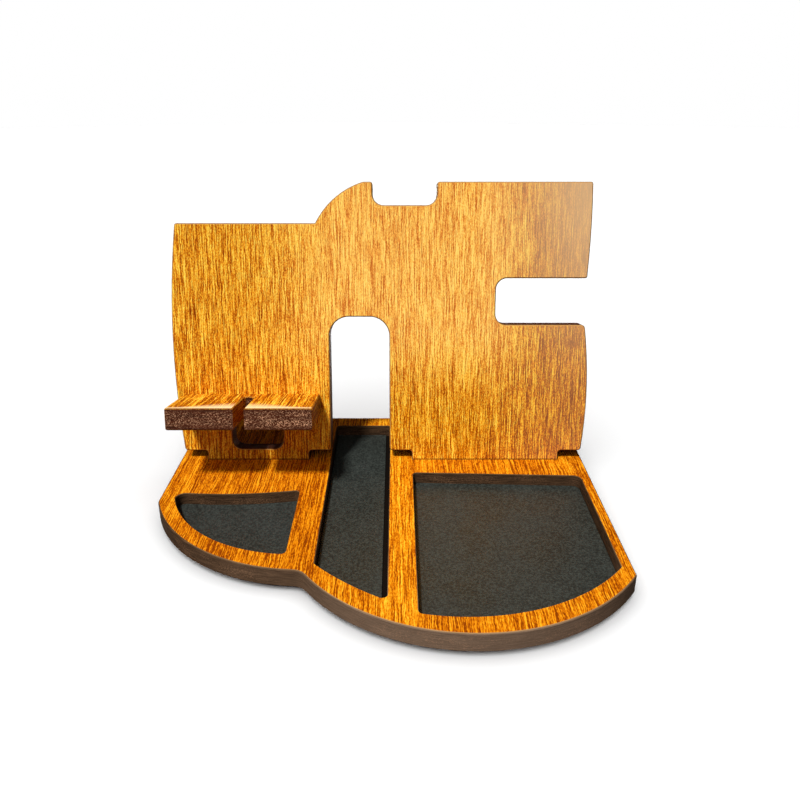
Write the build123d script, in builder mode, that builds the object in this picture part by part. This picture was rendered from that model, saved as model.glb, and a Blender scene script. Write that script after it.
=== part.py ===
from build123d import *

import os
from math import cos, radians, sin, sqrt

# A wooden charging station organizer: a base board with three lined trays, a back panel that
# leans back from it, a phone shelf plugged into the panel, and pads under the board. Lengths
# are millimetres. X runs to the right, Y to the rear and Z up. The origin is on the table,
# under the middle of the organizer's outline.

# Back panel, measured in its own front face: across it, and up its slope from the board's top
panel_width = 267.0
panel_height = 177.0
panel_thick = 13.5
panel_lean = 12.0
panel_arris = 0.7
panel_corner_radius = 1.5
panel_setback = 65.0
left_shoulder_inset = 4.1
left_top_inset = 5.3
right_shoulder_inset = 2.2
block_top_inset = 3.5
arm_bottom_inset = 3.4
arm_middle_inset = 2.3
arm_top_inset = 2.6
shoulder_height = 6.2
shoulder_radius = 2.0

# Dip in the top edge, where a pair of glasses lies on its bridge
dip_x = 15.0
dip_width = 40.0
dip_depth = 14.0
dip_radius = 7.0
dip_lip_radius = 1.5

# The left half stands lower than the right one, and a round hump climbs between them to a
# level brow beside the dip
left_block_drop = 24.8
brow_width = 5.7
hump_run = 30.0
hump_rise_radius = 50.0
hump_foot_radius = 1.0
hump_top_radius = 8.0

# Watch arm, and the strap notch under it, open to the right
arm_height = 58.6
arm_corner_radius = 1.5
notch_height = 29.2
notch_left_x = 72.8
notch_radius = 7.0
block_corner_radius = 3.0

# Arch that a wallet passes through
wallet_x = -13.8
wallet_width = 38.3
arch_height = 94.2
arch_radius = 12.5

# Tongues under the panel's two legs, with a shoulder on each side of them, and the blind mortises
# that they stand in
shoulder_width = 14.8
tongue_length = 7.5
tongue_end_radius = 2.0
tongue_gap = 0.15

# Phone shelf, square to the panel, from near the panel's left edge to near the arch. It has a slot
# for the charging cable, and a tenon that is set in from both of its ends.
shelf_inset = 5.5
shelf_arch_gap = 7.0
shelf_depth = 44.0
shelf_thick = 13.5
shelf_height = 44.2
shelf_arris = 0.7
shelf_corner_radius = 1.2
cable_slot_width = 6.7
cable_slot_end_wall = 9.0
tenon_inset = 14.0
tenon_thick = 7.0
tenon_radius = 1.5
tenon_gap = 0.15

# Cable hole through the left leg, under the shelf
cable_hole_width = 33.5
cable_hole_sill = 7.3
cable_hole_bridge = 3.2
cable_hole_radius = 6.5

# Base board. Its front edge is two arcs: each has its foremost point at an inset from one side,
# and ends at that side in a corner, which lies further back.
panel_overhang = 1.0
base_depth = 232.0
base_thick = 12.0
base_arris = 0.7
base_underside_arris = 1.8
tray_arris = 0.5
front_lobe_inset = 84.7
front_corner_setback = 43.4
left_lobe_inset = 94.2
left_lobe_setback = 47.3
left_corner_setback = 67.2
lobe_joint_radius = 9.0
left_corner_radius = 14.0
front_corner_radius = 2.5
rear_corner_radius = 6.0

# Trays in the board: a small one for rings on the left, a long one for a wallet, which runs on
# under the panel, and a large one on the right
tray_depth = 8.0
ring_divider_width = 16.6
side_divider_width = 15.2
ring_tray_side_wall = 7.6
ring_tray_front_wall = 13.8
ring_tray_rear = 39.7
ring_tray_tip_drop = 2.8
ring_tray_front_bow = 16.5
ring_tray_rear_bow = 3.2
ring_tray_tip_radius = 5.0
wallet_tray_front_wall = 15.0
wallet_tray_bow = 1.9
wallet_tray_run_behind = 51.2
side_tray_side_wall = 6.2
side_tray_front_wall = 11.0
side_tray_corner_wall = 14.8
side_tray_rear = 17.8
side_tray_rear_skew = 4.0
side_tray_front_bow = 15.7
side_tray_rear_radius = 5.0
tray_corner_radius = 2.5

# Liners on the tray floors. The wallet tray's one leaves a wider gap along its right side.
liner_thick = 1.0
liner_gap = 0.4
wallet_liner_right_gap = 2.8

# Pads under the board
foot_diameter = 14.0
foot_height = 1.5
foot_arris = 0.4
foot_inset = 16.0
foot_angle = 40.0
left_foot_angle = 45.0

# Places that follow from the sizes above
base_width = panel_width - 2 * panel_overhang
base_top = foot_height + base_thick
tray_floor = base_top - tray_depth
half_width = base_width / 2
rear_y = base_depth / 2
front_y = -base_depth / 2
panel_foot_y = rear_y - panel_setback
left_edge = -panel_width / 2
right_edge = panel_width / 2
left_block_top = panel_height - left_block_drop
arm_bottom = panel_height - arm_height
block_top = arm_bottom - notch_height
dip_bottom = panel_height - dip_depth
arch_left = wallet_x - wallet_width / 2
arch_right = wallet_x + wallet_width / 2
legs = [(left_edge + left_shoulder_inset, arch_left), (arch_right, right_edge - right_shoulder_inset)]
tongues = [(left + shoulder_width, right - shoulder_width) for left, right in legs]
cable_hole_x = sum(legs[0]) / 2
shelf_left = left_edge + shelf_inset
shelf_right = arch_left - shelf_arch_gap
shelf_x = (shelf_left + shelf_right) / 2
shelf_width = shelf_right - shelf_left
tenon_width = shelf_width - 2 * tenon_inset
shelf_underside = shelf_height - shelf_thick
tenon_height = shelf_height - shelf_thick / 2

# Planes of the panel's front face, which leans back, and square to it of its shoulders and of
# the shelf's top
lean = radians(panel_lean)
panel_face = Plane(
    origin=(0, panel_foot_y, base_top),
    x_dir=(1, 0, 0),
    z_dir=(0, -cos(lean), sin(lean)),
)
shoulder_level, shelf_top = [
    Plane(
        origin=panel_face.from_local_coords((0, height, 0)),
        x_dir=(1, 0, 0),
        z_dir=panel_face.y_dir,
    )
    for height in (shoulder_height, shelf_height)
]


def lobe(foremost_x, foremost_y, side_distance, corner_setback):
    """Centre and radius of the arc from a foremost point to a corner at the board's side."""
    radius = (side_distance**2 + corner_setback**2) / (2 * corner_setback)
    return foremost_x, foremost_y + radius, radius


left_lobe_y = front_y + left_lobe_setback
left_corner_y = left_lobe_y + left_corner_setback
lobes = [
    lobe(left_lobe_inset - half_width, left_lobe_y, left_lobe_inset, left_corner_setback),
    lobe(half_width - front_lobe_inset, front_y, front_lobe_inset, front_corner_setback),
]


def board_front(x):
    """Y of the board's front edge at x, on whichever of its two arcs reaches further."""
    return min(y - sqrt(r**2 - (x - c) ** 2) for c, y, r in lobes if abs(x - c) < r)


def corner_at(sketch, point):
    """The corner of a sketch that is nearest to a point of its plane."""
    return sketch.vertices().sort_by_distance(point)[0]


def finish(piece, name):
    """Label a piece and write it."""
    piece.part.label = name
    export_step(piece.part, f"parts/{name}.step")


os.makedirs("parts", exist_ok=True)

# Outlines of the three trays, on their floor
ring_right = arch_left - ring_divider_width
ring_tip = (ring_tray_side_wall - half_width, panel_foot_y - ring_tray_rear - ring_tray_tip_drop)
ring_rear = (ring_right, panel_foot_y - ring_tray_rear)
ring_front = (ring_right, board_front(ring_right) + ring_tray_front_wall)
with BuildSketch(Plane.XY.offset(tray_floor)) as ring_tray:
    with BuildLine():
        Line(ring_rear, ring_front)
        SagittaArc(ring_front, ring_tip, ring_tray_front_bow)
        SagittaArc(ring_tip, ring_rear, -ring_tray_rear_bow)
    make_face()
    fillet(corner_at(ring_tray, ring_tip), ring_tray_tip_radius)
    fillet([corner_at(ring_tray, c) for c in (ring_rear, ring_front)], tray_corner_radius)


def wallet_outline(right):
    """Outline of the long tray from its left side to a right side at x."""
    end_y = panel_foot_y + wallet_tray_run_behind
    front_left = (arch_left, board_front(arch_left) + wallet_tray_front_wall)
    front_right = (right, board_front(right) + wallet_tray_front_wall)
    with BuildSketch(Plane.XY.offset(tray_floor)) as outline:
        with BuildLine():
            Polyline(front_left, (arch_left, end_y), (right, end_y), front_right)
            SagittaArc(front_right, front_left, wallet_tray_bow)
        make_face()
        fillet(outline.vertices(), tray_corner_radius)
    return outline


wallet_tray = wallet_outline(arch_right)
wallet_liner = wallet_outline(arch_right + liner_gap - wallet_liner_right_gap)

side_left = arch_right + side_divider_width
side_right = half_width - side_tray_side_wall
side_rear_left = (side_left, panel_foot_y - side_tray_rear)
side_rear_right = (side_right, panel_foot_y - side_tray_rear - side_tray_rear_skew)
side_front_right = (side_right, board_front(side_right) + side_tray_corner_wall)
side_front_left = (side_left, board_front(side_left) + side_tray_front_wall)
with BuildSketch(Plane.XY.offset(tray_floor)) as side_tray:
    with BuildLine():
        Polyline(side_front_left, side_rear_left, side_rear_right, side_front_right)
        SagittaArc(side_front_right, side_front_left, side_tray_front_bow)
    make_face()
    fillet(corner_at(side_tray, side_rear_right), side_tray_rear_radius)
    small_corners = (side_rear_left, side_front_left, side_front_right)
    fillet([corner_at(side_tray, c) for c in small_corners], tray_corner_radius)

# Base board
with BuildPart() as base_board:
    with BuildSketch(Plane.XY.offset(foot_height)) as outline:
        with Locations((0, (rear_y + left_corner_y) / 2)):
            Rectangle(base_width, rear_y - left_corner_y)
        for centre_x, centre_y, radius in lobes:
            with Locations((centre_x, centre_y)):
                Circle(radius)
        Rectangle(base_width, base_depth, mode=Mode.INTERSECT)
        left_corner = (-half_width, left_corner_y)
        front_corner = (half_width, front_y + front_corner_setback)
        lobe_joint = outline.vertices().sort_by(Axis.X)[2]
        fillet(lobe_joint, lobe_joint_radius)
        fillet(corner_at(outline, left_corner), left_corner_radius)
        fillet(corner_at(outline, front_corner), front_corner_radius)
        fillet(outline.vertices().group_by(Axis.Y)[-1], rear_corner_radius)
    extrude(amount=base_thick)
    chamfer(base_board.faces().sort_by(Axis.Z)[-1].edges(), base_arris)
    chamfer(base_board.faces().sort_by(Axis.Z)[0].edges(), base_underside_arris)
    for tray in (ring_tray, wallet_tray, side_tray):
        extrude(tray.sketch, amount=tray_depth, mode=Mode.SUBTRACT)
    chamfer(base_board.faces().sort_by(Axis.Z)[-1].inner_wires().edges(), tray_arris)
    # The mortises lean as the panel does, and stop in the board
    for left, right in tongues:
        with BuildSketch(shoulder_level):
            with Locations(((left + right) / 2, panel_thick / 2)):
                Rectangle(right - left + 2 * tongue_gap, panel_thick + 2 * tongue_gap)
        extrude(amount=-(shoulder_height + tongue_length), mode=Mode.SUBTRACT)
finish(base_board, "base_board")

# Back panel
left_shoulder = (left_edge + left_shoulder_inset, shoulder_height)
left_bulge = (left_edge, (shoulder_height + left_block_top) / 2)
left_top = (left_edge + left_top_inset, left_block_top)
dip_left = dip_x - dip_width / 2
dip_right = dip_x + dip_width / 2
hump_top = (dip_left - brow_width, panel_height)
hump_foot = (dip_left - brow_width - hump_run, left_block_top)
arm_top = (right_edge - arm_top_inset, panel_height)
arm_middle = (right_edge - arm_middle_inset, (panel_height + arm_bottom) / 2)
arm_corner = (right_edge - arm_bottom_inset, arm_bottom)
notch_corners = [(notch_left_x, arm_bottom), (notch_left_x, block_top)]
block_corner = (right_edge - block_top_inset, block_top)
right_bulge = (right_edge, (shoulder_height + block_top) / 2)
right_shoulder = (right_edge - right_shoulder_inset, shoulder_height)
arch_corners = [(arch_right, arch_height), (arch_left, arch_height)]
arch_feet = [(arch_right, shoulder_height), (arch_left, shoulder_height)]


def tongue_points(left, right):
    """Corners of a tongue under a leg, from right to left."""
    return [
        (right, shoulder_height),
        (right, -tongue_length),
        (left, -tongue_length),
        (left, shoulder_height),
    ]


left_tongue, right_tongue = [tongue_points(left, right) for left, right in tongues]
dip_floor = [(dip_left, dip_bottom), (dip_right, dip_bottom)]
dip_lips = [(dip_left, panel_height), (dip_right, panel_height)]
with BuildPart() as back_panel:
    with BuildSketch(panel_face) as profile:
        with BuildLine():
            ThreePointArc(left_shoulder, left_bulge, left_top)
            Line(left_top, hump_foot)
            RadiusArc(hump_foot, hump_top, hump_rise_radius)
            Polyline(hump_top, dip_lips[0], *dip_floor, dip_lips[1], arm_top)
            ThreePointArc(arm_top, arm_middle, arm_corner)
            Polyline(arm_corner, *notch_corners, block_corner)
            ThreePointArc(block_corner, right_bulge, right_shoulder)
            Polyline(
                right_shoulder,
                *right_tongue,
                arch_feet[0],
                *arch_corners,
                arch_feet[1],
                *left_tongue,
                left_shoulder,
            )
        make_face()
        roundings = [
            ([left_top, arm_top], panel_corner_radius),
            ([hump_foot], hump_foot_radius),
            ([hump_top], hump_top_radius),
            (dip_floor, dip_radius),
            (dip_lips, dip_lip_radius),
            ([arm_corner], arm_corner_radius),
            (notch_corners, notch_radius),
            ([block_corner], block_corner_radius),
            (arch_corners, arch_radius),
            ([left_shoulder, right_shoulder, *arch_feet], shoulder_radius),
            ([left_tongue[0], left_tongue[-1]], shoulder_radius),
            ([right_tongue[0], right_tongue[-1]], shoulder_radius),
            ([*left_tongue[1:-1], *right_tongue[1:-1]], tongue_end_radius),
        ]
        for corners, radius in roundings:
            fillet([corner_at(profile, c) for c in corners], radius)
        hole_height = shelf_underside - cable_hole_bridge - cable_hole_sill
        with Locations((cable_hole_x, cable_hole_sill + hole_height / 2)):
            RectangleRounded(cable_hole_width, hole_height, cable_hole_radius, mode=Mode.SUBTRACT)
    extrude(amount=-panel_thick)
    chamfer(back_panel.faces().filter_by(panel_face).edges(), panel_arris)
    with BuildSketch(panel_face):
        with Locations((shelf_x, tenon_height)):
            RectangleRounded(
                tenon_width + 2 * tenon_gap,
                tenon_thick + 2 * tenon_gap,
                tenon_radius + tenon_gap,
            )
    extrude(amount=-panel_thick, mode=Mode.SUBTRACT)
finish(back_panel, "back_panel")

# Phone shelf
with BuildPart() as phone_shelf:
    with BuildSketch(shelf_top) as plan:
        with Locations((shelf_x, -shelf_depth / 2)):
            Rectangle(shelf_width, shelf_depth)
        fillet(plan.vertices().group_by(Axis.Y)[0], shelf_corner_radius)
        with Locations((shelf_x, -shelf_depth)):
            SlotOverall(
                2 * (shelf_depth - cable_slot_end_wall),
                cable_slot_width,
                rotation=90,
                mode=Mode.SUBTRACT,
            )
    extrude(amount=-shelf_thick)
    faces = phone_shelf.faces().filter_by(shelf_top)
    front_to_back = Axis(shelf_top.origin, shelf_top.y_dir)
    chamfer(faces.edges().sort_by(front_to_back)[:-2], shelf_arris)
    with BuildSketch(panel_face):
        with Locations((shelf_x, tenon_height)):
            RectangleRounded(tenon_width, tenon_thick, tenon_radius)
    extrude(amount=-panel_thick)
finish(phone_shelf, "phone_shelf")

# Liners, cut a little smaller than the trays
outlines = {
    "ring_tray_liner": ring_tray,
    "wallet_tray_liner": wallet_liner,
    "side_tray_liner": side_tray,
}
for name, outline in outlines.items():
    with BuildPart() as liner:
        with BuildSketch(Plane.XY.offset(tray_floor)):
            add(outline.sketch_local)
            offset(amount=-liner_gap, mode=Mode.REPLACE)
        extrude(amount=liner_thick)
    finish(liner, name)


def under_lobe(which, angle):
    """Place of a pad inside an arc of the board's edge, at an angle from straight ahead."""
    centre_x, centre_y, radius = lobes[which]
    reach = radius - foot_inset
    return centre_x + reach * sin(radians(angle)), centre_y - reach * cos(radians(angle))


# Pads
feet = {
    "foot_rear_left": (foot_inset - half_width, rear_y - foot_inset),
    "foot_rear_right": (half_width - foot_inset, rear_y - foot_inset),
    "foot_front_left": under_lobe(0, -left_foot_angle),
    "foot_front_middle": under_lobe(1, -foot_angle),
    "foot_front_right": under_lobe(1, foot_angle),
}
for name, place in feet.items():
    with BuildPart() as foot:
        with BuildSketch():
            with Locations(place):
                Circle(foot_diameter / 2)
        extrude(amount=foot_height)
        chamfer(foot.edges().group_by(Axis.Z)[0], foot_arris)
    finish(foot, name)
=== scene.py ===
from math import cos, pi, radians, sin
from typing import NamedTuple

import bpy
from bpy.props import FloatProperty, FloatVectorProperty, IntProperty
from bpy.types import Operator, Panel, PropertyGroup
from mathutils import Matrix, Vector


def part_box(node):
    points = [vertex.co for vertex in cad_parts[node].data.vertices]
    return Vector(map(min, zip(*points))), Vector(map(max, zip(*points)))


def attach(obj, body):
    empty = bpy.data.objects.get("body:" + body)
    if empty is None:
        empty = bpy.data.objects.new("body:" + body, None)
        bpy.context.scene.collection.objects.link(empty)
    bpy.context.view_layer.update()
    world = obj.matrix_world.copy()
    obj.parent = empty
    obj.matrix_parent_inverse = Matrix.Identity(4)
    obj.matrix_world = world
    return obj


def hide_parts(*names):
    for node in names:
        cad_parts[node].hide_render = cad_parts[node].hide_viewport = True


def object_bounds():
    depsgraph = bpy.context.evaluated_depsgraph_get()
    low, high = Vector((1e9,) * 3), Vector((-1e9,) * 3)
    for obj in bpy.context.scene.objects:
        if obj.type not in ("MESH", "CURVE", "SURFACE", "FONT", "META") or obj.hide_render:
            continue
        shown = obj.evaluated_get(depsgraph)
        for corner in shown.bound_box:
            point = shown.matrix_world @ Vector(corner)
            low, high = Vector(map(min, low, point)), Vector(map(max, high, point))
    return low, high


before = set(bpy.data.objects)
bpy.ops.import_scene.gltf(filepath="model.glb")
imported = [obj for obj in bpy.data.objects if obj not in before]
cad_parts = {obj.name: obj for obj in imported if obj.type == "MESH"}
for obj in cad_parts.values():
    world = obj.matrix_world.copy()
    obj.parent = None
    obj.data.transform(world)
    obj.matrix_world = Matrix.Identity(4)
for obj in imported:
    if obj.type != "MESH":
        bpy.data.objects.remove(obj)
cad_low, cad_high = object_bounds()

bl_info = {
    "name": "Charging station organizer",
    "version": (1, 0, 0),
    "blender": (4, 5, 0),
    "location": "3D View > Sidebar > Organizer",
    "description": "Finishes a wooden desk organizer: stained wood, tray liners, pads and a stage",
    "category": "Object",
}

MM = 0.001
BODY = "root"
LINERS = ("ring_tray_liner", "wallet_tray_liner", "side_tray_liner")
PADS = (
    "foot_rear_left",
    "foot_rear_right",
    "foot_front_left",
    "foot_front_middle",
    "foot_front_right",
)

# The panel leans back by this angle, and the shelf stands square to it
PANEL_LEAN = radians(12.0)
PANEL_FACE = Vector((0.0, -cos(PANEL_LEAN), sin(PANEL_LEAN)))
PANEL_UP = Vector((0.0, sin(PANEL_LEAN), cos(PANEL_LEAN)))
REAR = Vector((0.0, 1.0, 0.0))
UP = Vector((0.0, 0.0, 1.0))
BOARD_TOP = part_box("base_board")[1].z
TRAY_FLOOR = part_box(LINERS[0])[0].z

# A face lies flat if its normal's Z is beyond this, and places closer than LEVEL are level
FLAT = 0.9
LEVEL = 0.01 * MM

# Layers of the straight grain: share, width in fibre widths, length in fibre lengths, and detail
GRAIN_LAYERS = (
    (0.45, 1.0, 1.0, 2.0),
    (0.24, 1.0, 0.06, 1.0),
    (0.18, 1.2, 0.35, 1.0),
    (0.08, 3.0, 1.5, 2.0),
    (0.03, 14.0, 5.0, 1.0),
)

# How pale the grain is on average, where 0 is dark and 1 is pale: on the shelf, on the base board
# beside its streaks, and low at the panel's right edge
SHELF_TONE = 0.43
BOARD_TONE = 0.40
PANEL_TONE = 0.345
# How much paler the panel's grain is where the panel is palest, partly painted light from above, and
# away from its right edge
PANEL_PALER = 0.43
PANEL_OFF_EDGE = 0.13
# The part of the colour ramp for grain from 0 to 1. The rest is for grain that is paler still.
RAMP_SHARE = 0.8

# Streaks along the base board: X of the middle, half the width, and how much paler the grain is
BOARD_STREAKS = (
    (-100 * MM, 50 * MM, -0.06),
    (-43 * MM, 22 * MM, -0.12),
    (11 * MM, 25 * MM, 0.12),
)

# Directions that the key light shines along and that the room's light comes from
KEY_AIM = Vector((0.26, 0.42, -0.87))
TOWARDS_ROOM_LIGHT = Vector((-0.30, -0.60, 0.74))
# Width of the camera's sensor in millimetres
SENSOR_WIDTH = 36.0


class WoodSettings(PropertyGroup):
    """Stain, grain and lacquer of the three boards, with their painted light and shade."""

    palest: FloatVectorProperty(
        name="Palest grain",
        description="Colour of the few lines of the grain that took least stain",
        subtype="COLOR",
        default=(1.00, 0.71, 0.09),
    )
    pale: FloatVectorProperty(
        name="Pale grain",
        description="Colour of the pale lines of the grain",
        subtype="COLOR",
        default=(0.97, 0.55, 0.033),
    )
    golden: FloatVectorProperty(
        name="Golden grain",
        description="Colour of the golden lines of the grain",
        subtype="COLOR",
        default=(0.84, 0.330, 0.009),
    )
    light: FloatVectorProperty(
        name="Light grain",
        description="Colour of the light lines of the grain",
        subtype="COLOR",
        default=(0.69, 0.220, 0.003),
    )
    middle: FloatVectorProperty(
        name="Middle grain",
        description="Main colour of the stained wood",
        subtype="COLOR",
        default=(0.54, 0.134, 0.001),
    )
    dark: FloatVectorProperty(
        name="Dark grain",
        description="Colour of the dark lines of the grain",
        subtype="COLOR",
        default=(0.21, 0.036, 0.0005),
    )
    pore: FloatVectorProperty(
        name="Pores",
        description="Colour of the stain that has gathered in the pores",
        subtype="COLOR",
        default=(0.085, 0.022, 0.003),
    )
    # Painted sheen: the pale, greyed colour towards the panel's right edge and upper right corner
    # stands in for light glancing off the lacquer
    painted_right_sheen: FloatVectorProperty(
        name="Faded wood",
        description="Colour of the panel's right edge, where light has faded the stain",
        subtype="COLOR",
        default=(0.70, 0.46, 0.240),
    )
    # Painted sheen: a faint pink veil where the panel is palest
    painted_pink_sheen: FloatVectorProperty(
        name="Haze",
        description="Colour of the lacquer's faint haze where the panel is palest",
        subtype="COLOR",
        default=(1.00, 0.40, 0.60),
    )
    speck: FloatVectorProperty(
        name="Specks",
        description="Colour of the specks in the end grain",
        subtype="COLOR",
        default=(0.64, 0.335, 0.185),
    )
    # Painted highlight: the pale colour on the shelf's top at its lip stands in for light glancing
    # off it
    lip: FloatVectorProperty(
        name="Worn lip",
        description="Colour of the shelf's top at its lip, where it is worn palest",
        subtype="COLOR",
        default=(1.00, 0.80, 0.46),
    )
    # Painted highlight: the pale line along the top arrises stands in for light caught by the bevels
    arris: FloatVectorProperty(
        name="Arrises",
        description="Colour of the line along the arrises, where the stain is sanded thin",
        subtype="COLOR",
        default=(0.80, 0.43, 0.12),
    )
    board_edge: FloatVectorProperty(
        name="Board's edge",
        description="Colour round the base board and down the walls of its trays",
        subtype="COLOR",
        default=(0.054, 0.0345, 0.0225),
    )
    # Partly painted shade: this tint darkens as well as reddens the base board's edge and tray walls
    # away from its front
    wall_tint: FloatVectorProperty(
        name="Wall tint",
        description="Tint of the base board's edge and tray walls away from its front",
        subtype="COLOR",
        default=(0.90, 0.74, 0.56),
    )
    end_grain: FloatVectorProperty(
        name="End grain",
        description="Colour of the panel's and the shelf's edges, where the stain sinks in",
        subtype="COLOR",
        default=(0.060, 0.0150, 0.0062),
    )
    # Near-black colour of the tray floors round the liners, also used as painted shade on the boards'
    # undersides
    floor_black_and_painted_shade: FloatVectorProperty(
        name="Glued floor",
        description="Colour of the tray floors round the liners, darkened by glue",
        subtype="COLOR",
        default=(0.006, 0.004, 0.003),
    )
    fibre_width: FloatProperty(
        name="Fibre width",
        description="Width of the finest lines of the grain",
        subtype="DISTANCE",
        default=0.38 * MM,
    )
    fibre_length: FloatProperty(
        name="Fibre length",
        description="Length of the finest lines of the grain",
        subtype="DISTANCE",
        default=22.0 * MM,
    )
    # Width of the painted highlight along the arrises
    highlight_width: FloatProperty(
        name="Worn width",
        description="Width of the pale line along the bevelled arrises",
        subtype="DISTANCE",
        default=0.30 * MM,
    )
    pore_depth: FloatProperty(
        name="Pore depth",
        description="How deep the pores lie below the lacquer",
        subtype="DISTANCE",
        default=0.08 * MM,
    )
    gloss_roughness: FloatProperty(
        name="Lacquer roughness",
        description="Roughness of the satin lacquer",
        subtype="FACTOR",
        min=0.0,
        max=1.0,
        default=0.42,
    )
    gloss_level: FloatProperty(
        name="Lacquer gloss",
        description="How much the satin lacquer reflects",
        subtype="FACTOR",
        min=0.0,
        max=1.0,
        default=0.05,
    )


class LinerSettings(PropertyGroup):
    """Imitation leather on the tray floors."""

    colour: FloatVectorProperty(
        name="Leather",
        description="Colour of the imitation leather",
        subtype="COLOR",
        default=(0.0140, 0.0165, 0.0140),
    )
    edge_round: FloatProperty(
        name="Edge round",
        description="Radius of the liners' soft upper edge",
        subtype="DISTANCE",
        default=0.45 * MM,
    )
    pebble: FloatProperty(
        name="Pebble",
        description="Size of the pebbles that are pressed into the leather",
        subtype="DISTANCE",
        default=0.9 * MM,
    )
    ripple: FloatProperty(
        name="Ripple",
        description="Height of the gentle ripples in the glued liner",
        subtype="DISTANCE",
        default=0.12 * MM,
    )
    cell: FloatProperty(
        name="Cell",
        description="Spacing of the mesh that carries the ripples",
        subtype="DISTANCE",
        default=3.0 * MM,
    )


class PadSettings(PropertyGroup):
    """Rubber pads under the base board."""

    colour: FloatVectorProperty(
        name="Rubber",
        description="Colour of the pads",
        subtype="COLOR",
        default=(0.018, 0.018, 0.018),
    )
    groove_count: IntProperty(
        name="Grooves",
        description="How many ring grooves the underside of a pad has",
        min=0,
        max=5,
        default=3,
    )
    groove_depth: FloatProperty(
        name="Groove depth",
        description="Depth of the grooves in a pad's underside",
        subtype="DISTANCE",
        default=0.35 * MM,
    )
    rim_round: FloatProperty(
        name="Rim round",
        description="Radius of the soft rim round a pad's underside",
        subtype="DISTANCE",
        default=0.35 * MM,
    )
    steps: IntProperty(
        name="Steps",
        description="How many sides a pad's round has",
        min=16,
        max=128,
        default=64,
    )


class StageSettings(PropertyGroup):
    """Floor, lights and camera."""

    floor_radius: FloatProperty(
        name="Floor radius",
        description="Radius of the white floor",
        subtype="DISTANCE",
        default=4.0,
    )
    camera_x: FloatProperty(
        name="Camera across",
        description="How far the camera stands to the right of the organizer's middle",
        subtype="DISTANCE",
        default=9.9 * MM,
    )
    camera_distance: FloatProperty(
        name="Camera distance",
        description="From the camera back to the line where the panel meets the board",
        subtype="DISTANCE",
        default=432.7 * MM,
    )
    camera_height: FloatProperty(
        name="Camera height",
        description="Height of the camera above the base board's top",
        subtype="DISTANCE",
        default=233.0 * MM,
    )
    camera_pitch: FloatProperty(
        name="Camera pitch",
        description="How far the camera looks down",
        subtype="ANGLE",
        default=radians(23.71),
    )
    focal_share: FloatProperty(
        name="Focal length",
        description="Focal length as a share of the picture's width",
        default=0.925,
    )
    axis_share: FloatProperty(
        name="Axis offset",
        description="Sideways shift of the picture, as a share of its width",
        default=0.0044,
    )
    key_strength: FloatProperty(
        name="Key light",
        description="Strength of the main light on the organizer",
        default=4.1,
    )
    key_spread: FloatProperty(
        name="Key spread",
        description="Apparent size of the main light",
        subtype="ANGLE",
        default=radians(7.0),
    )
    rear_strength: FloatProperty(
        name="Rear light",
        description="Strength of the weak light that falls squarely on the panel's back",
        default=1.2,
    )
    rear_spread: FloatProperty(
        name="Rear light's spread",
        description="Apparent size of the light from behind",
        subtype="ANGLE",
        default=radians(20.0),
    )
    floor_strength: FloatProperty(
        name="Floor light",
        description="Strength of the broad light that falls on the floor",
        default=3.15,
    )
    floor_spread: FloatProperty(
        name="Floor light's spread",
        description="Apparent size of the broad light that falls on the floor",
        subtype="ANGLE",
        default=radians(105.0),
    )
    sky_bright: FloatProperty(
        name="Room light, front",
        description="Strength of the soft light from high in front",
        default=0.95,
    )
    sky_dim: FloatProperty(
        name="Room light, rear",
        description="Strength of the soft light from low behind",
        default=0.02,
    )
    floor_bounce: FloatProperty(
        name="Floor bounce",
        description="How much of its light the floor throws back onto the organizer",
        subtype="FACTOR",
        min=0.0,
        max=1.0,
        default=0.14,
    )
    panel_foot: FloatProperty(
        name="Panel's foot",
        description="Y of the line where the panel's front face meets the board",
        subtype="DISTANCE",
        default=51.0 * MM,
    )


class Board(NamedTuple):
    """How one board is finished."""

    node: str
    # Angle about X that brings the grain onto Y and the face onto Z
    turn: float
    # How coarse the grain is, across it and along it
    across: float
    along: float
    contrast: float
    face_normal: Vector
    grain_direction: Vector
    edge_colour: tuple
    # How far the edges take the edge colour where they aren't end grain
    edge_share: float
    # How strongly a painted highlight lies along the arrises
    pale_tone_and_highlight: float


def deselect_all():
    """Leaves nothing selected, so that an operator acts only on what is selected next."""
    if bpy.context.object and bpy.context.object.mode != "OBJECT":
        bpy.ops.object.mode_set(mode="OBJECT")
    bpy.ops.object.select_all(action="DESELECT")


def activate(obj):
    """Selects one object alone and makes it active."""
    deselect_all()
    obj.select_set(True)
    bpy.context.view_layer.objects.active = obj


def copy_of_node(node, name):
    """A copy of a CAD node as a new object, with its loose triangles merged and flat faces joined."""
    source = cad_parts[node]
    piece = bpy.data.objects.new(name, source.data.copy())
    bpy.context.scene.collection.objects.link(piece)
    piece.data.materials.clear()
    activate(piece)
    bpy.ops.object.mode_set(mode="EDIT")
    bpy.ops.mesh.select_all(action="SELECT")
    bpy.ops.mesh.remove_doubles(threshold=0.001 * MM)
    bpy.ops.mesh.customdata_custom_splitnormals_clear()
    bpy.ops.mesh.dissolve_limited(angle_limit=radians(0.5))
    bpy.ops.object.mode_set(mode="OBJECT")
    return piece


def select_faces(piece, wanted):
    """Selects the faces whose normal a test accepts, and nothing else."""
    bpy.ops.object.mode_set(mode="OBJECT")
    for edge in piece.data.edges:
        edge.select = False
    for vertex in piece.data.vertices:
        vertex.select = False
    for face in piece.data.polygons:
        face.select = wanted(face.normal)
        if face.select:
            for index in face.vertices:
                piece.data.vertices[index].select = True
    bpy.ops.object.mode_set(mode="EDIT")


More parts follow.
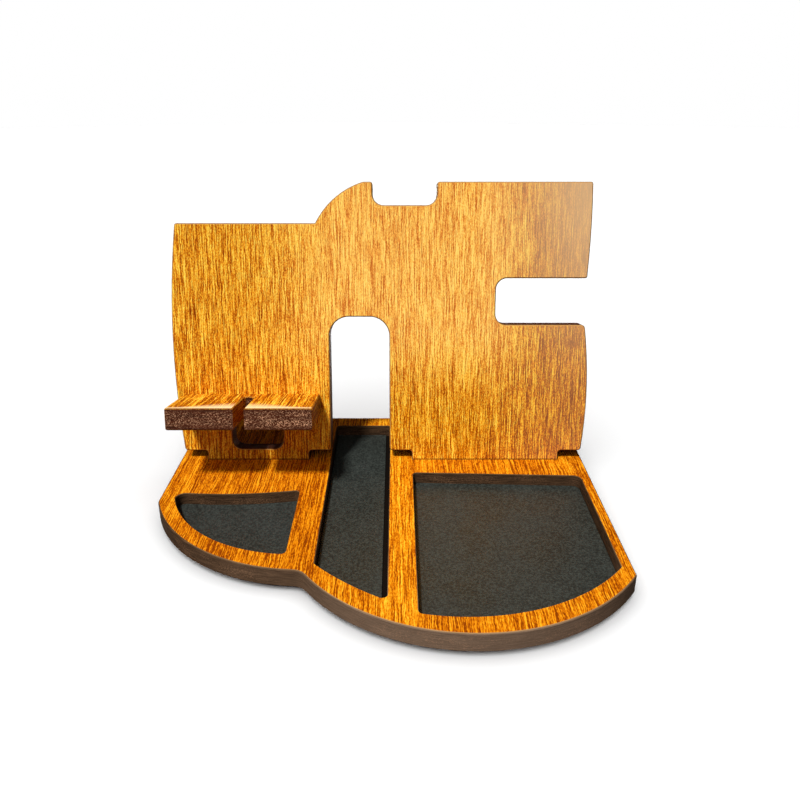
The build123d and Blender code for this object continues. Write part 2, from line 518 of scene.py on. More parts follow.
def select_edges(piece, wanted):
    """Selects the edges whose two ends a test on their place accepts, and nothing else."""
    bpy.ops.mesh.select_mode(type="EDGE")
    bpy.ops.mesh.select_all(action="DESELECT")
    bpy.ops.object.mode_set(mode="OBJECT")
    points = piece.data.vertices
    for edge in piece.data.edges:
        edge.select = all(wanted(points[index].co) for index in edge.vertices)
    bpy.ops.object.mode_set(mode="EDIT")


def tinted(colour, share):
    """A colour made darker or paler by a share."""
    return tuple(share * part for part in colour)


def add_node(tree, kind, inputs=None, **values):
    """A new node with its properties and the values of its sockets set."""
    made = tree.nodes.new(kind)
    for name, value in values.items():
        setattr(made, name, value)
    for name, value in (inputs or {}).items():
        if isinstance(value, bpy.types.NodeSocket):
            tree.links.new(value, made.inputs[name])
        else:
            made.inputs[name].default_value = value
    return made


def maths(tree, operation, first, second=0.0, third=0.0, clamp=False):
    """Output of a Math node."""
    inputs = {0: first, 1: second, 2: third}
    return add_node(tree, "ShaderNodeMath", inputs, operation=operation, use_clamp=clamp).outputs[0]


def away_from(tree, value, middle):
    """How far a value lies from a middle one, to either side."""
    return maths(tree, "ABSOLUTE", maths(tree, "SUBTRACT", value, middle))


def axis(tree, vector, name):
    """One coordinate of a vector, by its letter."""
    return add_node(tree, "ShaderNodeSeparateXYZ", {0: vector}).outputs[name]


def reach_along(tree, vector, direction):
    """How far a vector reaches along a direction."""
    inputs = {0: vector, 1: direction}
    return add_node(tree, "ShaderNodeVectorMath", inputs, operation="DOT_PRODUCT").outputs["Value"]


def smooth_range(tree, value, low, high, to_low=0.0, to_high=1.0):
    """A value mapped smoothly from one range to another."""
    inputs = {"Value": value, "From Min": low, "From Max": high, "To Min": to_low, "To Max": to_high}
    made = add_node(tree, "ShaderNodeMapRange", inputs, interpolation_type="SMOOTHSTEP")
    return made.outputs["Result"]


def blend_colours(tree, factor, first, second, mode="MIX"):
    """Output of a colour Mix node. Each colour is a socket or three numbers."""
    inputs = {0: factor, 6: first, 7: second}
    for index in (6, 7):
        if not isinstance(inputs[index], bpy.types.NodeSocket):
            inputs[index] = (*inputs[index], 1.0)
    return add_node(tree, "ShaderNodeMix", inputs, data_type="RGBA", blend_type=mode).outputs[2]


def colour_ramp(tree, value, stops):
    """Output of a colour ramp with stops at the given places."""
    ramp = add_node(tree, "ShaderNodeValToRGB", {"Fac": value})
    elements = ramp.color_ramp.elements
    for element, (position, colour) in zip(elements, (stops[0], stops[-1])):
        element.position, element.color = position, (*colour, 1.0)
    for position, colour in stops[1:-1]:
        elements.new(position).color = (*colour, 1.0)
    return ramp.outputs["Color"]


def stretched_noise(tree, vector, across, along, depth=None, detail=2.0, roughness=0.55):
    """Noise whose cells have these sizes in metres, across along X, along along Y and depth along Z.
    Without a depth, they are as deep as they are wide."""
    scale = (1 / across, 1 / along, 1 / (depth or across))
    scaled = add_node(tree, "ShaderNodeVectorMath", {0: vector, 1: scale}, operation="MULTIPLY")
    inputs = {"Vector": scaled.outputs[0], "Scale": 1.0, "Detail": detail, "Roughness": roughness}
    return add_node(tree, "ShaderNodeTexNoise", inputs).outputs["Fac"]


def sway(tree, vector, across, along, reach):
    """Noise that sways evenly to both sides, over the given reach in all."""
    noise = stretched_noise(tree, vector, across, along, detail=1.0)
    return maths(tree, "MULTIPLY_ADD", noise, reach, -reach / 2)


def add_bump(tree, shader, height, distance, strength):
    """Bends a shader's normal by a height over the surface."""
    inputs = {"Height": height, "Distance": distance, "Strength": strength}
    bump = add_node(tree, "ShaderNodeBump", inputs)
    tree.links.new(bump.outputs["Normal"], shader.inputs["Normal"])


def new_group(name, inputs, outputs):
    """An empty shader node group with named sockets, and its group input and output nodes."""
    tree = bpy.data.node_groups.new(name, "ShaderNodeTree")
    for socket, kind, default in inputs:
        made = tree.interface.new_socket(socket, in_out="INPUT", socket_type="NodeSocket" + kind)
        if default is not None:
            made.default_value = default
    for socket in outputs:
        tree.interface.new_socket(socket, in_out="OUTPUT", socket_type="NodeSocketFloat")
    return tree, tree.nodes.new("NodeGroupInput"), tree.nodes.new("NodeGroupOutput")


def use_group(tree, name, inputs):
    """Outputs of a group node in a material's tree."""
    group = bpy.data.node_groups[name]
    return add_node(tree, "ShaderNodeGroup", inputs, node_tree=group).outputs


def straight_grain_group(wood):
    """Straight grain of an open-pored wood. Its lines run along Y of the given vector."""
    tree, given, result = new_group(
        "Straight grain",
        [("Vector", "Vector", None)],
        ["Figure", "Pores", "Zones"],
    )
    place = given.outputs["Vector"]
    width, length = wood.fibre_width, wood.fibre_length
    drift = sway(tree, place, 60 * width, 9 * length, 6 * width)
    curl = sway(tree, place, 9 * width, 0.30 * length, 3 * width)
    shift = maths(tree, "ADD", drift, curl)
    shift = add_node(tree, "ShaderNodeCombineXYZ", {"X": shift}).outputs[0]
    place = add_node(tree, "ShaderNodeVectorMath", {0: place, 1: shift}, operation="ADD").outputs[0]

    figure = 0.0
    for share, across, along, detail in GRAIN_LAYERS:
        noise = stretched_noise(tree, place, across * width, along * length, detail=detail)
        figure = maths(tree, "MULTIPLY_ADD", noise, share, figure)
    pores = stretched_noise(tree, place, 0.7 * width, 0.20 * length, detail=1.0)
    zones = stretched_noise(tree, place, 55 * width, 9 * length, detail=1.0)

    # Each mask fades in between two values of its noise
    for name, noise, low, high in (
        ("Figure", figure, 0.37, 0.61),
        ("Pores", pores, 0.62, 0.72),
        ("Zones", zones, 0.35, 0.68),
    ):
        tree.links.new(smooth_range(tree, noise, low, high), result.inputs[name])


def end_grain_group(wood):
    """Specks of cut pores on a board's end, in clumps and mostly in the middle of its thickness, and
    fine lines along its edges. The thickness lies along Z of the given vector."""
    tree, given, result = new_group(
        "End grain",
        [("Vector", "Vector", None), ("Middle", "Float", 0.0), ("Half", "Float", 6.0 * MM)],
        ["Speckle", "Lines"],
    )
    place = given.outputs["Vector"]
    width = wood.fibre_width
    dots = stretched_noise(tree, place, 2.3 * width, 1.9 * width, 0.95 * width, detail=2.0)
    dots = smooth_range(tree, dots, 0.53, 0.62)
    clumps = stretched_noise(tree, place, 30 * width, 30 * width, 9 * width, detail=1.0)
    clumps = smooth_range(tree, clumps, 0.35, 0.60, 0.4, 1.15)
    off_middle = away_from(tree, axis(tree, place, "Z"), given.outputs["Middle"])
    off_middle = maths(tree, "DIVIDE", off_middle, given.outputs["Half"])
    heart = smooth_range(tree, off_middle, 0.3, 0.9, 1.0, 0.25)
    speckle = maths(tree, "MULTIPLY", dots, maths(tree, "MULTIPLY", heart, clumps))
    tree.links.new(speckle, result.inputs["Speckle"])
    lines = stretched_noise(
        tree, place, 26 * width, 26 * width, 1.1 * width, detail=3.0, roughness=0.7
    )
    tree.links.new(smooth_range(tree, lines, 0.34, 0.68), result.inputs["Lines"])


def board_sides_group():
    """Masks for a board: its broad faces, its ends, the bevelled arrises of its show face, and its
    underside."""
    tree, given, result = new_group(
        "Board sides",
        [("Face normal", "Vector", UP), ("Grain direction", "Vector", REAR)],
        ["Face", "End", "Arris", "Under"],
    )
    normal = add_node(tree, "ShaderNodeTexCoord").outputs["Normal"]
    facing = reach_along(tree, normal, given.outputs["Face normal"])
    ending = reach_along(tree, normal, given.outputs["Grain direction"])

    # Each mask fades in between two cosines of the angle to the face's normal or to the grain
    face = smooth_range(tree, maths(tree, "ABSOLUTE", facing), 0.80, 0.92)
    end = smooth_range(tree, maths(tree, "ABSOLUTE", ending), 0.45, 0.85)
    bevelled = smooth_range(tree, facing, 0.50, 0.62)
    arris = maths(tree, "SUBTRACT", bevelled, face, clamp=True)
    under = smooth_range(tree, facing, -0.3, -0.6)
    for name, mask in (("Face", face), ("End", end), ("Arris", arris), ("Under", under)):
        tree.links.new(mask, result.inputs[name])


def leather_grain_group(liner):
    """Pebbled surface of imitation leather."""
    tree, given, result = new_group(
        "Leather grain",
        [("Vector", "Vector", None)],
        ["Height", "Tone", "Specks"],
    )
    place = given.outputs["Vector"]
    size = liner.pebble
    inputs = {"Vector": place, "Scale": 1 / size, "Randomness": 1.0}
    pebbles = add_node(tree, "ShaderNodeTexVoronoi", inputs, feature="DISTANCE_TO_EDGE")
    height = smooth_range(tree, pebbles.outputs["Distance"], 0.0, 0.28)
    fine = stretched_noise(tree, place, 1.3 * size, 1.3 * size, detail=1.0)
    tone = stretched_noise(tree, place, 30 * size, 44 * size, detail=3.0)
    tree.links.new(maths(tree, "MULTIPLY_ADD", fine, 0.5, height), result.inputs["Height"])
    tree.links.new(tone, result.inputs["Tone"])
    tree.links.new(smooth_range(tree, fine, 0.35, 0.65), result.inputs["Specks"])


def new_material(name):
    """An empty material with a Principled shader, and its tree."""
    material = bpy.data.materials.new(name)
    material.use_nodes = True
    tree = material.node_tree
    tree.nodes.clear()
    shader = add_node(tree, "ShaderNodeBsdfPrincipled")
    output = add_node(tree, "ShaderNodeOutputMaterial")
    tree.links.new(shader.outputs["BSDF"], output.inputs["Surface"])
    return material, tree, shader


def span_along(node, direction):
    """Lowest and highest place of a CAD node along a direction."""
    places = [direction.dot(vertex.co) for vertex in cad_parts[node].data.vertices]
    return min(places), max(places)


def wood_material(board):
    """Stained wood for one board: its faces, its edges, a painted highlight along its arrises, and
    lacquer.
    """
    wood = bpy.context.scene.organizer_wood
    material, tree, shader = new_material(board.node + "_wood")
    place = add_node(tree, "ShaderNodeTexCoord").outputs["Object"]
    inputs = {"Vector": place, "Rotation": (board.turn, 0.0, 0.0)}
    turned = add_node(tree, "ShaderNodeMapping", inputs).outputs["Vector"]
    scale = (1 / board.across, 1 / board.along, 1 / board.across)
    inputs = {"Vector": turned, "Scale": scale}
    stretched = add_node(tree, "ShaderNodeMapping", inputs).outputs["Vector"]
    grain = use_group(tree, "Straight grain", {"Vector": stretched})
    low, high = span_along(board.node, board.face_normal)
    inputs = {"Vector": turned, "Middle": (low + high) / 2, "Half": (high - low) / 2}
    ends = use_group(tree, "End grain", inputs)
    inputs = {"Face normal": board.face_normal, "Grain direction": board.grain_direction}
    sides = use_group(tree, "Board sides", inputs)

    # The base board's edge is paler towards its front: painted light where the key light falls. The
    # other boards are the same all round.
    front = 1.0
    if board.node == "base_board":
        front = smooth_range(tree, axis(tree, place, "Y"), 0.25 * cad_low.y, cad_low.y)

    colour = face_colour(tree, board, place, grain, sides, wood)
    edge = edge_colour(tree, board, place, grain, ends, sides, front, wood)
    edging = maths(tree, "MAXIMUM", sides["End"], board.edge_share)
    edging = maths(tree, "MULTIPLY", edging, maths(tree, "SUBTRACT", 1.0, sides["Face"]))
    colour = blend_colours(tree, edging, colour, edge)

    # Painted highlight along the top arrises; on the base board it fades away from its front
    depth = maths(tree, "SUBTRACT", high, reach_along(tree, place, board.face_normal))
    narrow, broad = 0.7 * wood.highlight_width, 1.3 * wood.highlight_width
    line = smooth_range(tree, depth, narrow, broad, board.pale_tone_and_highlight, 0.0)
    line = maths(tree, "MULTIPLY", line, sides["Arris"])
    line = maths(tree, "MULTIPLY", line, maths(tree, "MULTIPLY_ADD", front, 0.75, 0.25))
    colour = blend_colours(tree, line, colour, wood.arris)
    tree.links.new(colour, shader.inputs["Base Color"])
    add_lacquer(tree, shader, grain, sides, wood)
    return material


def face_colour(tree, board, place, grain, sides, wood):
    """Colour of a board's grain on the ramp from dark to palest, with its own changes of tone, and
    painted light and shade on the panel and the shelf.
    """
    tone, contrast = SHELF_TONE, board.contrast
    if board.node == "base_board":
        tone = board_tone(tree, place)
    if board.node == "back_panel":
        # Painted light: the panel is paler up its middle, as if lit from above
        pale, right = panel_tone_and_painted_light(tree, place)
        tone = maths(tree, "MULTIPLY_ADD", pale, PANEL_PALER, PANEL_TONE)
        tone = maths(tree, "MULTIPLY_ADD", right, PANEL_OFF_EDGE, tone)
        contrast = maths(tree, "MULTIPLY_ADD", pale, -0.22, contrast)
    figure = maths(tree, "SUBTRACT", grain["Figure"], 0.5)
    figure = maths(tree, "MULTIPLY_ADD", figure, contrast, tone)
    figure = maths(tree, "MULTIPLY_ADD", grain["Zones"], -0.06, figure)
    stops = (
        (0.0, wood.dark),
        (0.27, wood.middle),
        (0.45, wood.light),
        (0.625, wood.golden),
        (0.80, wood.pale),
        (1.0, wood.palest),
    )
    colour = colour_ramp(tree, maths(tree, "MULTIPLY", figure, RAMP_SHARE), stops)
    pores = maths(tree, "MULTIPLY", grain["Pores"], 0.25)
    colour = blend_colours(tree, pores, colour, wood.pore)

    if board.node == "base_board":
        colour = darken_tray_floors(tree, place, colour, wood)
    if board.node == "back_panel":
        colour = paint_panel_sheen_and_shade(tree, place, colour, figure, pale, wood)
    if board.node == "phone_shelf":
        colour = paint_shelf_lip_highlight(tree, place, colour, sides, wood)
    return colour


def edge_colour(tree, board, place, grain, ends, sides, front, wood):
    """Colour of a board's edges and ends: fine lines, specks of cut pores and painted shade on the
    underside.
    """
    streaks, tone = 0.25, 0.0
    # Painted light: the base board's edge is paler towards its front, where the key light falls
    if board.node == "base_board":
        streaks, tone = 0.45, maths(tree, "MULTIPLY", front, 0.60)
    tone = maths(tree, "MULTIPLY_ADD", ends["Lines"], streaks, tone)
    dim, bright = tinted(board.edge_colour, 0.5), tinted(board.edge_colour, 3.6)
    edge = blend_colours(tree, tone, dim, bright)
    # Away from the front the edge and tray walls take the wall tint: partly their redder colour,
    # partly painted shade
    if board.node == "base_board":
        off_front = maths(tree, "SUBTRACT", 1.0, front)
        edge = blend_colours(tree, off_front, edge, wood.wall_tint, mode="MULTIPLY")

    # The shelf has more specks on its right half, and the other boards have few
    if board.node == "phone_shelf":
        low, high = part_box(board.node)
        left, right = [(low.x + high.x) / 2 + side * 10 * MM for side in (-1, 1)]
        patches = smooth_range(tree, axis(tree, place, "X"), left, right, 0.58, 1.1)
    else:
        patches = maths(tree, "MULTIPLY", grain["Zones"], 0.2)
    specks = maths(tree, "MULTIPLY", ends["Speckle"], sides["End"])
    specks = maths(tree, "MULTIPLY", specks, patches, clamp=True)
    edge = blend_colours(tree, specks, edge, wood.speck)
    # Painted shade: the underside bevels are darkened nearly to black
    return blend_colours(tree, maths(tree, "MULTIPLY", sides["Under"], 0.7), edge, wood.floor_black_and_painted_shade)


def add_lacquer(tree, shader, grain, sides, wood):
    """Satin lacquer over sunken pores, duller in the pores and on end grain, which drinks it."""
    roughness = wood.gloss_roughness
    for mask, share in ((grain["Pores"], 0.22), (grain["Zones"], 0.10), (sides["End"], 0.45)):
        roughness = maths(tree, "MULTIPLY_ADD", mask, share, roughness)
    tree.links.new(roughness, shader.inputs["Roughness"])
    shader.inputs["Specular IOR Level"].default_value = wood.gloss_level
    height = maths(tree, "MULTIPLY_ADD", grain["Pores"], -1.0, grain["Figure"])
    add_bump(tree, shader, height, wood.pore_depth, 0.5)


def board_tone(tree, place):
    """How pale the base board's grain is, with two darker streaks and a paler one along it."""
    across = axis(tree, place, "X")
    tone = BOARD_TONE
    for middle, half_width, change in BOARD_STREAKS:
        off = away_from(tree, across, middle)
        tone = maths(tree, "ADD", smooth_range(tree, off, half_width, 0.0, 0.0, change), tone)
    return tone


def panel_tone_and_painted_light(tree, place):
    """How pale a place on the panel is, from its dark foot, left side and right arms to its upper
    middle, partly painted light falling from above, and how far left of its right edge it lies."""
    low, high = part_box("back_panel")
    height = high.z - low.z
    across = axis(tree, place, "X")
    up = smooth_range(
        tree, axis(tree, place, "Z"), low.z + 0.12 * height, low.z + 0.54 * height
    )
    right = smooth_range(tree, across, 0.88 * high.x, 0.50 * high.x)
    left = smooth_range(tree, across, 0.75 * low.x, 0.10 * low.x, 0.30, 1.0)
    return maths(tree, "MULTIPLY", maths(tree, "MULTIPLY", up, right), left), right


def paint_panel_sheen_and_shade(tree, place, colour, figure, pale, wood):
    """The panel's colour, painted paler and greyer as sheen at its right edge and most at the upper
    right corner, with a faint pink painted sheen where it is palest, most on its pale lines, and a
    painted contact shadow along its foot."""
    low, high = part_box("back_panel")
    height = axis(tree, place, "Z")
    fade_start = low.z + 0.2 * (high.z - low.z)
    up = smooth_range(tree, height, fade_start, high.z, 0.12, 0.80)
    right = smooth_range(tree, axis(tree, place, "X"), 0.40 * high.x, high.x)
    # Painted sheen: paler and greyer towards the upper right corner
    colour = blend_colours(tree, maths(tree, "MULTIPLY", up, right), colour, wood.painted_right_sheen)
    # Painted sheen: a faint pink veil on the palest parts, most on their pale lines
    painted_pink_sheen = maths(tree, "MULTIPLY", maths(tree, "MULTIPLY", pale, pale), figure)
    painted_pink_sheen = maths(tree, "MULTIPLY", painted_pink_sheen, 0.09, clamp=True)
    colour = blend_colours(tree, painted_pink_sheen, colour, wood.painted_pink_sheen)
    # Painted contact shadow: a dark band along the panel's foot, where it meets the board
    painted_contact_shadow = smooth_range(tree, height, BOARD_TOP + 1.2 * MM, BOARD_TOP, 0.0, 0.9)
    return blend_colours(tree, painted_contact_shadow, colour, wood.pore)


def paint_shelf_lip_highlight(tree, place, colour, sides, wood):
    """The shelf's colour, with a painted highlight on top towards its lip, reaching furthest back
    beside the cable slot."""
    low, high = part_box("phone_shelf")
    half = (high.x - low.x) / 2
    away = away_from(tree, axis(tree, place, "X"), high.x - half)
    reach = smooth_range(tree, away, 0.95 * half, 0.10 * half, 5.0 * MM, 18.0 * MM)
    lip = span_along("phone_shelf", PANEL_FACE)[1]
    start = maths(tree, "SUBTRACT", lip, reach)
    # Painted highlight, strongest at the lip
    pale_tone_and_highlight = smooth_range(tree, reach_along(tree, place, PANEL_FACE), start, lip, 0.0, 0.90)
    return blend_colours(tree, maths(tree, "MULTIPLY", pale_tone_and_highlight, sides["Face"]), colour, wood.lip)


def darken_tray_floors(tree, place, colour, wood):
    """The board's colour, with the tray floors near black, which shows round the liners."""
    floor = maths(tree, "COMPARE", axis(tree, place, "Z"), TRAY_FLOOR, 0.5 * MM)
    return blend_colours(tree, floor, colour, wood.floor_black_and_painted_shade)


def dress_board(board):
    """Gives a board's CAD node its wood in place of the plain material that it was packed with."""
    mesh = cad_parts[board.node].data
    mesh.materials.clear()
    mesh.materials.append(wood_material(board))


class ORGANIZER_OT_effects(Operator):
    """Build the node groups that the materials share"""

    bl_idname = "organizer.effects"
    bl_label = "Shared effects"

    def execute(self, context):
        straight_grain_group(context.scene.organizer_wood)
        end_grain_group(context.scene.organizer_wood)
        board_sides_group()
        leather_grain_group(context.scene.organizer_liner)
        return {"FINISHED"}


class ORGANIZER_OT_base_board(Operator):
    """Stain the base board, whose grain runs from front to back"""

    bl_idname = "organizer.base_board"
    bl_label = "Base board"

    def execute(self, context):
        board = Board(
            node="base_board",
            turn=0.0,
            across=1.4,
            along=1.5,
            contrast=0.98,
            face_normal=UP,
            grain_direction=REAR,
            edge_colour=context.scene.organizer_wood.board_edge,
            edge_share=1.0,
            pale_tone_and_highlight=0.3,
        )
        dress_board(board)
        return {"FINISHED"}


class ORGANIZER_OT_back_panel(Operator):
    """Stain the back panel, whose grain runs up its slope"""

    bl_idname = "organizer.back_panel"
    bl_label = "Back panel"

    def execute(self, context):
        board = Board(
            node="back_panel",
            turn=PANEL_LEAN - pi / 2,
            across=0.9,
            along=0.85,
            contrast=1.50,
            face_normal=PANEL_FACE,
            grain_direction=PANEL_UP,
            edge_colour=context.scene.organizer_wood.end_grain,
            edge_share=0.8,
            pale_tone_and_highlight=0.6,
        )
        dress_board(board)
        return {"FINISHED"}


class ORGANIZER_OT_phone_shelf(Operator):
    """Stain the phone shelf, whose grain runs out from the panel"""

    bl_idname = "organizer.phone_shelf"
    bl_label = "Phone shelf"

    def execute(self, context):
        board = Board(
            node="phone_shelf",
            turn=PANEL_LEAN,
            across=1.3,
            along=1.8,
            contrast=1.6,
            face_normal=PANEL_UP,
            grain_direction=PANEL_FACE,
            edge_colour=context.scene.organizer_wood.end_grain,
            edge_share=0.35,
            pale_tone_and_highlight=0.15,
        )
        dress_board(board)
        return {"FINISHED"}


def leather_material():
    """Imitation leather with pressed pebbles and a low sheen."""
    liner = bpy.context.scene.organizer_liner
    material, tree, shader = new_material("imitation_leather")
    place = add_node(tree, "ShaderNodeTexCoord").outputs["Object"]
    grain = use_group(tree, "Leather grain", {"Vector": place})
    pale_tone_and_highlight, specked, pressed = [tinted(liner.colour, share) for share in (1.3, 3.2, 0.4)]
    tone = smooth_range(tree, grain["Tone"], 0.35, 0.70)
    colour = blend_colours(tree, tone, liner.colour, pale_tone_and_highlight)
    specks = maths(tree, "MULTIPLY", grain["Specks"], 0.8)
    colour = blend_colours(tree, specks, colour, specked)
    low = smooth_range(tree, grain["Height"], 0.2, 1.0, 0.55, 0.0)
    colour = blend_colours(tree, low, colour, pressed)
    tree.links.new(colour, shader.inputs["Base Color"])
    tree.links.new(maths(tree, "MULTIPLY_ADD", tone, 0.14, 0.42), shader.inputs["Roughness"])
    add_bump(tree, shader, grain["Height"], 0.05 * MM, 0.7)
    return material


def bisect_at(positions, normal):
    """Cuts the whole of the mesh that is being edited along parallel planes."""
    for position in positions:
        bpy.ops.mesh.select_all(action="SELECT")
        bpy.ops.mesh.bisect(plane_co=position, plane_no=normal)


def steps_between(low, high, step):
    """Evenly spaced places between two limits, about a step apart and without the limits."""
    count = max(2, round((high - low) / step))
    return [low + (high - low) * k / count for k in range(1, count)]


def soften_liner(piece, low, high, liner):
    """Rounds a liner's upper edge and cuts the liner into cells that can carry ripples."""
    select_faces(piece, lambda normal: normal.z > FLAT)
    bpy.ops.mesh.bevel(offset=liner.edge_round, segments=3, affect="EDGES")
    across = [Vector((x, 0, 0)) for x in steps_between(low.x, high.x, liner.cell)]
    along = [Vector((0, y, 0)) for y in steps_between(low.y, high.y, liner.cell)]
    bisect_at(across, (1, 0, 0))
    bisect_at(along, (0, 1, 0))
    bpy.ops.object.mode_set(mode="OBJECT")


def ripple_liner(piece, top, clouds, liner):
    """Sinks gentle ripples into a liner's top, and leaves its edge and underside as they are."""
    raised = piece.vertex_groups.new(name="raised")
    inner = [vertex.index for vertex in piece.data.vertices if vertex.co.z > top - LEVEL]
    raised.add(inner, 1.0, "REPLACE")
    ripple = piece.modifiers.new("ripple", "DISPLACE")
    ripple.texture = clouds
    ripple.texture_coords = "LOCAL"
    ripple.direction = "Z"
    ripple.mid_level = 1.0
    ripple.strength = liner.ripple
    ripple.vertex_group = raised.name
    activate(piece)
    bpy.ops.object.modifier_apply(modifier=ripple.name)
    bpy.ops.object.shade_smooth_by_angle(angle=radians(40))


class ORGANIZER_OT_liners(Operator):
    """Lay a sheet of imitation leather on each tray's floor"""

    bl_idname = "organizer.liners"
    bl_label = "Tray liners"

    def execute(self, context):
        liner = context.scene.organizer_liner
        material = leather_material()
        clouds = bpy.data.textures.new("liner_ripples", "CLOUDS")
        clouds.noise_scale = 9 * liner.cell
        clouds.noise_depth = 1
        for node in LINERS:
            low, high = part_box(node)
            piece = copy_of_node(node, node + "_leather")
            soften_liner(piece, low, high, liner)
            ripple_liner(piece, high.z, clouds, liner)
            piece.data.materials.append(material)
            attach(piece, BODY)
            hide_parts(node)
        return {"FINISHED"}


def rubber_material():
    """Dull black rubber with a fine, dusty grain."""
    pads = bpy.context.scene.organizer_pads
    material, tree, shader = new_material("pad_rubber")
    place = add_node(tree, "ShaderNodeTexCoord").outputs["Object"]
    grit = stretched_noise(tree, place, 0.5 * MM, 0.5 * MM, detail=3.0)
    dust = smooth_range(tree, grit, 0.45, 0.75, 0.0, 0.5)
    colour = blend_colours(tree, dust, pads.colour, tinted(pads.colour, 3.0))
    tree.links.new(colour, shader.inputs["Base Color"])
    shader.inputs["Roughness"].default_value = 0.78
    add_bump(tree, shader, grit, 0.05 * MM, 0.4)
    return material


def model_pad(radius, height, pads):
    """One pad, standing on the origin: a disc with ring grooves in its underside and a soft rim."""
    deselect_all()
    bpy.ops.mesh.primitive_cylinder_add(
        vertices=pads.steps, radius=radius, depth=height, location=(0.0, 0.0, height / 2)
    )
    pad = bpy.context.object
    bpy.ops.object.transform_apply(location=True, rotation=False, scale=False)
    bpy.ops.object.mode_set(mode="EDIT")
    bpy.ops.mesh.select_mode(type="FACE")
    select_faces(pad, lambda normal: normal.z < -FLAT)
    ring = radius / (pads.groove_count + 1)
    slope, floor, land = 0.1 * ring, 0.2 * ring, 0.6 * ring
    for _ in range(pads.groove_count):
        bpy.ops.mesh.inset(thickness=land)
        bpy.ops.mesh.inset(thickness=slope, depth=-pads.groove_depth)
        bpy.ops.mesh.inset(thickness=floor)
        bpy.ops.mesh.inset(thickness=slope, depth=pads.groove_depth)
    rim = radius - LEVEL
    select_edges(pad, lambda point: point.z < LEVEL and point.to_2d().length > rim)
    bpy.ops.mesh.bevel(offset=pads.rim_round, segments=3, affect="EDGES")
    bpy.ops.object.mode_set(mode="OBJECT")
    bpy.ops.object.shade_smooth_by_angle(angle=radians(35))
    return pad


class ORGANIZER_OT_pads(Operator):
    """Model a grooved rubber pad and put a copy of it at each of the five places"""

    bl_idname = "organizer.pads"
    bl_label = "Pads"

    def execute(self, context):
        low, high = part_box(PADS[0])
        pad = model_pad((high.x - low.x) / 2, high.z - low.z, context.scene.organizer_pads)
        pad.data.materials.append(rubber_material())
        for node in PADS:
            low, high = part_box(node)
            middle = (low + high) / 2
            piece = bpy.data.objects.new(node + "_rubber", pad.data.copy())
            context.scene.collection.objects.link(piece)
            piece.data.transform(Matrix.Translation((middle.x, middle.y, low.z)))
            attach(piece, BODY)
            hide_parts(node)
        bpy.data.objects.remove(pad)
        return {"FINISHED"}


def lay_floor(stage):
    """A wide white floor. It throws little of its light back, so the undersides stay dark."""
    deselect_all()
    bpy.ops.mesh.primitive_circle_add(vertices=96, radius=stage.floor_radius, fill_type="NGON")
    floor = bpy.context.object
    floor.name = "studio_floor"
    paper, tree, shader = new_material("floor_paper")
    seen = add_node(tree, "ShaderNodeLightPath").outputs["Is Camera Ray"]
    bounce, white = (stage.floor_bounce,) * 3, (0.90, 0.90, 0.90)
    tree.links.new(blend_colours(tree, seen, bounce, white), shader.inputs["Base Color"])
    shader.inputs["Roughness"].default_value = 0.9
    shader.inputs["Specular IOR Level"].default_value = 0.1
    floor.data.materials.append(paper)
    return floor


def light_room(stage):
    """Soft light from high in front that falls off to the rear. The camera sees plain white."""
    world = bpy.data.worlds.new("room_light")
    bpy.context.scene.world = world
    world.use_nodes = True
    tree = world.node_tree
    tree.nodes.clear()
    direction = add_node(tree, "ShaderNodeTexCoord").outputs["Generated"]
    facing = reach_along(tree, direction, TOWARDS_ROOM_LIGHT)
    strength = smooth_range(tree, facing, 0.60, 1.0, stage.sky_dim, stage.sky_bright)
    seen = add_node(tree, "ShaderNodeLightPath").outputs["Is Camera Ray"]
    strength = maths(tree, "MAXIMUM", strength, seen)
    inputs = {"Color": (1.0, 1.0, 1.0, 1.0), "Strength": strength}
    room = add_node(tree, "ShaderNodeBackground", inputs)
    output = add_node(tree, "ShaderNodeOutputWorld")
    tree.links.new(room.outputs[0], output.inputs["Surface"])


def add_sun(name, strength, spread, aim, receivers):
    """A distant light that shines along a direction, on the collection's choice of objects."""
    bpy.ops.object.light_add(type="SUN", location=-aim)
    sun = bpy.context.object
    sun.name = name
    sun.data.energy = strength
    sun.data.angle = spread
    sun.rotation_euler = aim.to_track_quat("-Z", "Y").to_euler()
    sun.light_linking.receiver_collection = receivers
    return sun


def link_light(name, floor, state):
    """A collection that includes the floor alone among a light's receivers, or leaves it out."""
    receivers = bpy.data.collections.new(name)
    receivers.objects.link(floor)
    receivers.collection_objects[0].light_linking.link_state = state
    return receivers


def light_organizer(stage, floor):
    """The key light and a weak rear light on the organizer alone, and a broad light from above on
    the floor alone."""
    on_object = link_light("lit_by_key", floor, "EXCLUDE")
    add_sun("key_light", stage.key_strength, stage.key_spread, KEY_AIM, on_object)
    # The rear light comes from a little below the floor, so the floor doesn't block it, and none
    # of it bounces on into the dark under the shelf
    rear = add_sun("rear_light", stage.rear_strength, stage.rear_spread, PANEL_FACE, on_object)
    rear.light_linking.blocker_collection = on_object
    rear.data.cycles.max_bounces = 0
    on_floor = link_light("lit_from_above", floor, "INCLUDE")
    add_sun("floor_light", stage.floor_strength, stage.floor_spread, -UP, on_floor)


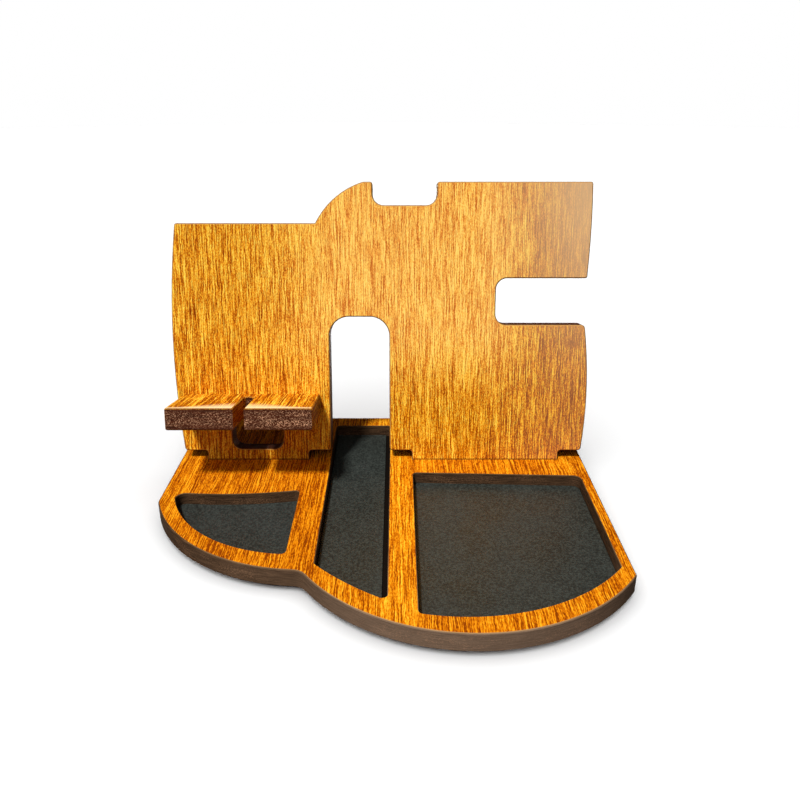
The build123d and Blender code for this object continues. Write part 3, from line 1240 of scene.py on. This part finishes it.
def place_camera(stage):
    """The camera at the photo's viewing angle, with the photo's framing."""
    bpy.ops.object.camera_add()
    camera = bpy.context.object
    camera.name = "photo_camera"
    camera.data.sensor_width = SENSOR_WIDTH
    camera.data.lens = stage.focal_share * SENSOR_WIDTH
    camera.data.shift_x = stage.axis_share
    camera.location = (
        stage.camera_x,
        stage.panel_foot - stage.camera_distance,
        BOARD_TOP + stage.camera_height,
    )
    camera.rotation_euler = (pi / 2 - stage.camera_pitch, 0.0, 0.0)
    bpy.context.scene.camera = camera


class ORGANIZER_OT_stage(Operator):
    """Set up the floor, the lights and the camera"""

    bl_idname = "organizer.stage"
    bl_label = "Stage"

    def execute(self, context):
        stage = context.scene.organizer_stage
        floor = lay_floor(stage)
        light_room(stage)
        light_organizer(stage, floor)
        place_camera(stage)
        context.scene.view_settings.view_transform = "Standard"
        return {"FINISHED"}


STEPS = (
    ORGANIZER_OT_effects,
    ORGANIZER_OT_base_board,
    ORGANIZER_OT_back_panel,
    ORGANIZER_OT_phone_shelf,
    ORGANIZER_OT_liners,
    ORGANIZER_OT_pads,
    ORGANIZER_OT_stage,
)


class ORGANIZER_PT_panel(Panel):
    """Sizes, colours and steps of the organizer"""

    bl_idname = "ORGANIZER_PT_panel"
    bl_label = "Organizer"
    bl_space_type = "VIEW_3D"
    bl_region_type = "UI"
    bl_category = "Organizer"

    def draw(self, context):
        layout = self.layout
        for step in STEPS:
            layout.operator(step.bl_idname)
        for name, settings in SETTINGS.items():
            box = layout.box()
            group = getattr(context.scene, name)
            for prop in settings.__annotations__:
                box.prop(group, prop)


SETTINGS = {
    "organizer_wood": WoodSettings,
    "organizer_liner": LinerSettings,
    "organizer_pads": PadSettings,
    "organizer_stage": StageSettings,
}
CLASSES = (*SETTINGS.values(), *STEPS, ORGANIZER_PT_panel)


def register():
    for cls in CLASSES:
        bpy.utils.register_class(cls)
    for name, settings in SETTINGS.items():
        setattr(bpy.types.Scene, name, bpy.props.PointerProperty(type=settings))


def unregister():
    for name in SETTINGS:
        delattr(bpy.types.Scene, name)
    for cls in reversed(CLASSES):
        bpy.utils.unregister_class(cls)


def main():
    register()
    for step in STEPS:
        group, name = step.bl_idname.split(".")
        getattr(getattr(bpy.ops, group), name)()


if __name__ == "__main__":
    main()
